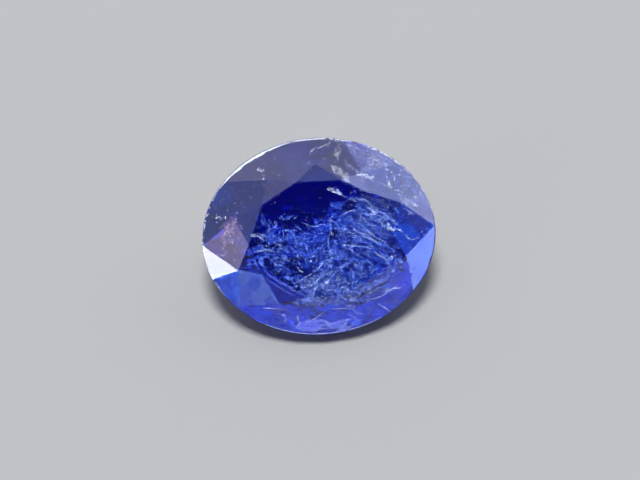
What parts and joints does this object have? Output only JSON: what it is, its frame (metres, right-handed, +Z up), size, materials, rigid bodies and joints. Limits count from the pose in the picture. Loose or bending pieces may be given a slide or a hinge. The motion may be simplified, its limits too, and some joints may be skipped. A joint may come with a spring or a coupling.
{
  "type": "oval cut tanzanite gemstone",
  "caption": "Loose oval faceted gemstone, violet-blue and see-through with many inclusions, lying on a pavilion facet with its table leaning forward.",
  "frame": {"origin": "middle of the bounding box's bottom, on the surface that the stone lies on", "axes": "+Z up, +X along the oval's long axis, -Y to the front, where the table leans"},
  "size_m": [0.012, 0.0084, 0.0072],
  "materials": {
    "tanzanite": "polished, clear violet-blue with pale inclusions"
  },
  "bodies": {
    "root": {"tanzanite": "tanzanite"}
  },
  "joints": []
}
